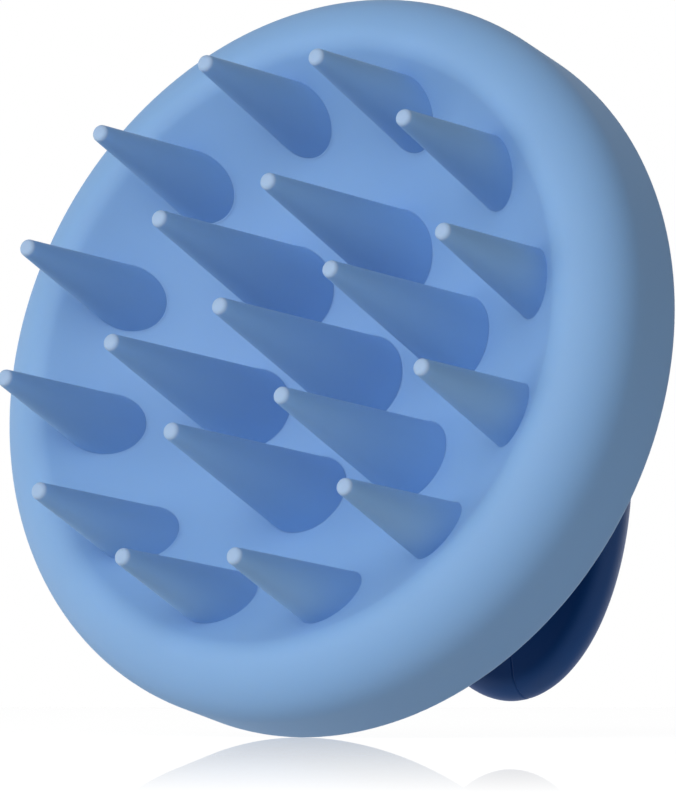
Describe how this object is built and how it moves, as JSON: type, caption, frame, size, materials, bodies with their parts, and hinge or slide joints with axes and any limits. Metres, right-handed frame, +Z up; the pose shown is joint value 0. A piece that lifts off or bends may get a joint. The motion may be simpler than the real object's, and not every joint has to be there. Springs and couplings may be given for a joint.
{
  "type": "scalp massager brush",
  "caption": "Palm-held round scalp massager: soft dished head with rounded cone bristles on a rigid back, and a T-shaped oval grip.",
  "frame": {"origin": "centre of the plane that the bristle tips stand on, under the middle of the head", "axes": "+Z up from the bristle tips to the grip, +X along the grip's long way, +Y across the grip"},
  "size_m": [0.0792, 0.0792, 0.062],
  "materials": {
    "soft_pad": "matte soft silicone, light blue",
    "carrier_plastic": "moulded, navy",
    "cover_plastic": "soft-touch matte, navy",
    "handle_plastic": "soft-touch matte, navy",
    "screw_steel": "zinc plated"
  },
  "bodies": {
    "root": {"bristle_pad": "soft_pad", "pad_carrier": "carrier_plastic", "back_cover": "cover_plastic", "handle_shell_front": "handle_plastic", "handle_shell_rear": "handle_plastic", "base_screws": "screw_steel"}
  },
  "joints": []
}
